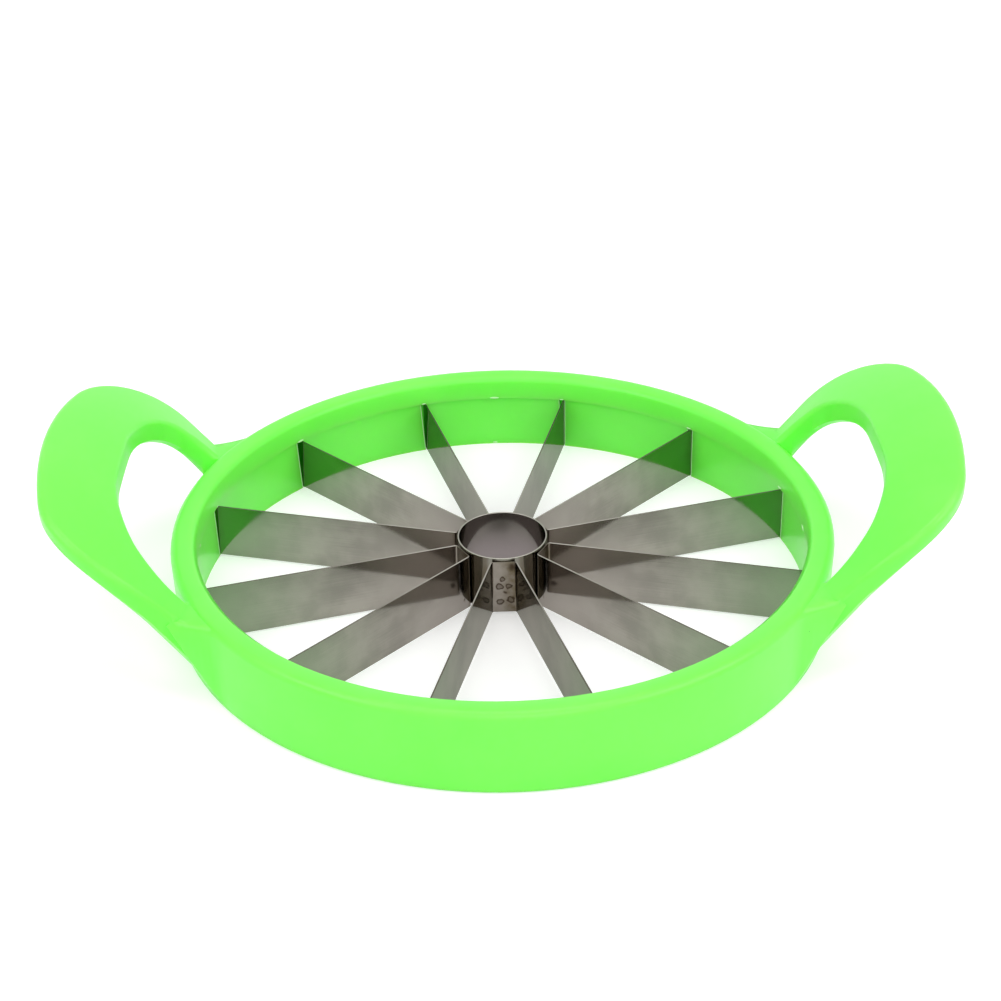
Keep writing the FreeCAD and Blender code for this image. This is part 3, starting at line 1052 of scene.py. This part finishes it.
    def burrs_tree(self) -> bpy.types.NodeTree:
        """Make the tree that thickens an outline and repeats it round the ring.

        Returns:
            A Geometry Nodes tree with Count, Start, Thickness and Finish inputs.
        """
        build, given, result = new_shape_tree(
            "burrs_round_slots", {"Count": "Int", "Start": "Float", "Thickness": "Float"}
        )
        path = build.add("GeometryNodeMeshToCurve", {"Mesh": given["Geometry"]}).outputs[0]
        rim = {"Resolution": self.burr_sides, "Radius": build.math("MULTIPLY", given["Thickness"], 0.5)}
        profile = build.add("GeometryNodeCurvePrimitiveCircle", rim).outputs[0]
        tube = {"Curve": path, "Profile Curve": profile, "Fill Caps": True}
        wire = build.add("GeometryNodeCurveToMesh", tube).outputs[0]
        step = build.math("DIVIDE", FULL_TURN, given["Count"])
        index = build.add("GeometryNodeInputIndex").outputs[0]
        copies = build.add(
            "GeometryNodeInstanceOnPoints",
            {
                "Points": build.add("GeometryNodePoints", {"Count": given["Count"]}).outputs[0],
                "Instance": build.add("GeometryNodeSetShadeSmooth", {"Geometry": wire}).outputs[0],
                "Rotation": build.upright(build.math("MULTIPLY_ADD", index, step, given["Start"])),
            },
        )
        return end_shape_tree(build, copies.outputs[0], given["Finish"], result["Geometry"])


@dataclass
class PhotoCamera:
    """The camera of the photograph, solved from the ring and the blades."""

    distance: float = 0.85663
    aim: Triple = (-0.00026, 0.060, 0.020)
    elevation: float = math.radians(29.941)
    roll: float = math.radians(-1.149)
    turn: float = math.radians(-1.1)
    lens: float = 67.27
    sensor: float = 36.0
    shift: float = -0.02103

    def build(self) -> None:
        """Add the camera and make it the scene's."""
        back = Vector((0.0, -math.cos(self.elevation), math.sin(self.elevation)))
        right = Vector((1.0, 0.0, 0.0))
        up = back.cross(right)
        level = right * math.cos(self.roll) + up * math.sin(self.roll)
        upright = up * math.cos(self.roll) - right * math.sin(self.roll)
        matrix = Matrix((level, upright, back)).transposed().to_4x4()
        matrix.translation = Vector(self.aim) + back * self.distance
        data = bpy.data.cameras.new("photo_camera")
        data.lens = self.lens
        data.sensor_width = self.sensor
        data.shift_y = self.shift
        camera = add_object("photo_camera", data)
        camera.matrix_world = Matrix.Rotation(self.turn, 4, "Z") @ matrix
        bpy.context.scene.camera = camera


@dataclass(frozen=True)
class Lamp:
    """A square soft box."""

    name: str
    place: Triple
    side: float
    power: float


@dataclass
class Studio:
    """Floor, soft boxes and the pale surroundings."""

    floor_size: float = 6.0
    mottle: Noise = Noise(40.0)
    floor_dark: Colour = (0.84, 0.84, 0.84, 1.0)
    floor_light: Colour = (0.86, 0.86, 0.86, 1.0)
    floor_glow: Fade = Fade(0.3, 1.2, 0.34, 0.7)
    sky: Fade = Fade(0.0, 1.0, 0.55, 1.0)
    lamp_aim: Triple = (0.0, 0.0, 0.02)
    lamps: tuple[Lamp, ...] = (
        Lamp("front_box", (0.1, -1.35, 0.95), 1.0, 6.0),
        Lamp("left_box", (-0.95, -0.5, 1.0), 0.9, 6.0),
        Lamp("right_box", (1.0, -0.45, 0.9), 0.9, 6.5),
        Lamp("top_box", (0.0, 0.0, 1.6), 1.0, 5.5),
    )

    def build(self) -> None:
        """Make the studio."""
        self.build_floor()
        for lamp in self.lamps:
            self.build_lamp(lamp)
        self.build_world()
        bpy.context.scene.view_settings.view_transform = "Standard"

    def shown(self, build: Builder) -> Socket:
        """Find the rays that show a surface: those of the camera, of gloss and of glass.

        Args:
            build: The tree's builder.

        Returns:
            1 on such a ray, else 0.
        """
        path = build.add("ShaderNodeLightPath").outputs
        gloss = build.math("MAXIMUM", path["Is Camera Ray"], path["Is Glossy Ray"])
        return build.math("MAXIMUM", gloss, path["Is Transmission Ray"])

    def build_floor(self) -> None:
        """Make the floor, which shows white and keeps the object's shadow."""
        half = self.floor_size / 2
        mesh = bpy.data.meshes.new("floor")
        corners = [(-half, -half, 0.0), (half, -half, 0.0), (half, half, 0.0), (-half, half, 0.0)]
        mesh.from_pydata(corners, [], [(0, 1, 2, 3)])
        floor = add_object("floor", mesh)
        material, build = new_material("pale_floor")
        place = build.place()
        colour = build.blend(build.noise(place, self.mottle), self.floor_dark, self.floor_light)
        matt = build.add("ShaderNodeBsdfDiffuse", {"Color": colour})
        reach = build.vector("LENGTH", place)
        level = build.math("MULTIPLY", self.shown(build), build.fade(reach, self.floor_glow))
        glow = build.add("ShaderNodeEmission", {"Strength": level})
        both = build.add("ShaderNodeAddShader", {0: matt.outputs[0], 1: glow.outputs[0]})
        build.add("ShaderNodeOutputMaterial", {"Surface": both.outputs[0]})
        mesh.materials.append(material)

    def build_lamp(self, lamp: Lamp) -> None:
        """Add a soft box that faces the object.

        Args:
            lamp: Its place, size and power.
        """
        data = bpy.data.lights.new(lamp.name, "AREA")
        data.shape = "SQUARE"
        data.size = lamp.side
        data.energy = lamp.power
        light = add_object(lamp.name, data)
        light.location = lamp.place
        beam = Vector(self.lamp_aim) - Vector(lamp.place)
        light.rotation_euler = beam.to_track_quat("-Z", "Y").to_euler()

    def build_world(self) -> None:
        """Make the surroundings: white where they show, softer as a light."""
        world = bpy.data.worlds.new("studio")
        bpy.context.scene.world = world
        world.use_nodes = True
        world.node_tree.nodes.clear()
        build = Builder(world.node_tree)
        strength = build.fade(self.shown(build), self.sky)
        light = build.add("ShaderNodeBackground", {"Color": WHITE, "Strength": strength})
        build.add("ShaderNodeOutputWorld", {"Surface": light.outputs[0]})


def main() -> None:
    """Build every sub-assembly and the studio round it."""
    logging.basicConfig(level=logging.INFO, format="%(name)s: %(message)s")
    PhotoCamera().build()
    Studio().build()
    grain = DrawnGrain().build()
    Moulding(PlasticFinish().build(), PALE_MARKS_AND_HIGHLIGHT.build()).build()
    tube_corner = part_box("core_tube")[1]
    tube_middle = tube_corner.x - TUBE_WALL / 2
    CoreTube(TubeSteel("tube_steel", grain, tube_corner.z, middle=tube_middle).build()).build()
    blade_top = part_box("blade_strip_1")[1].z
    BladeStrips(BladeSteel("blade_steel", grain, blade_top).build()).build()


if __name__ == "__main__":
    main()
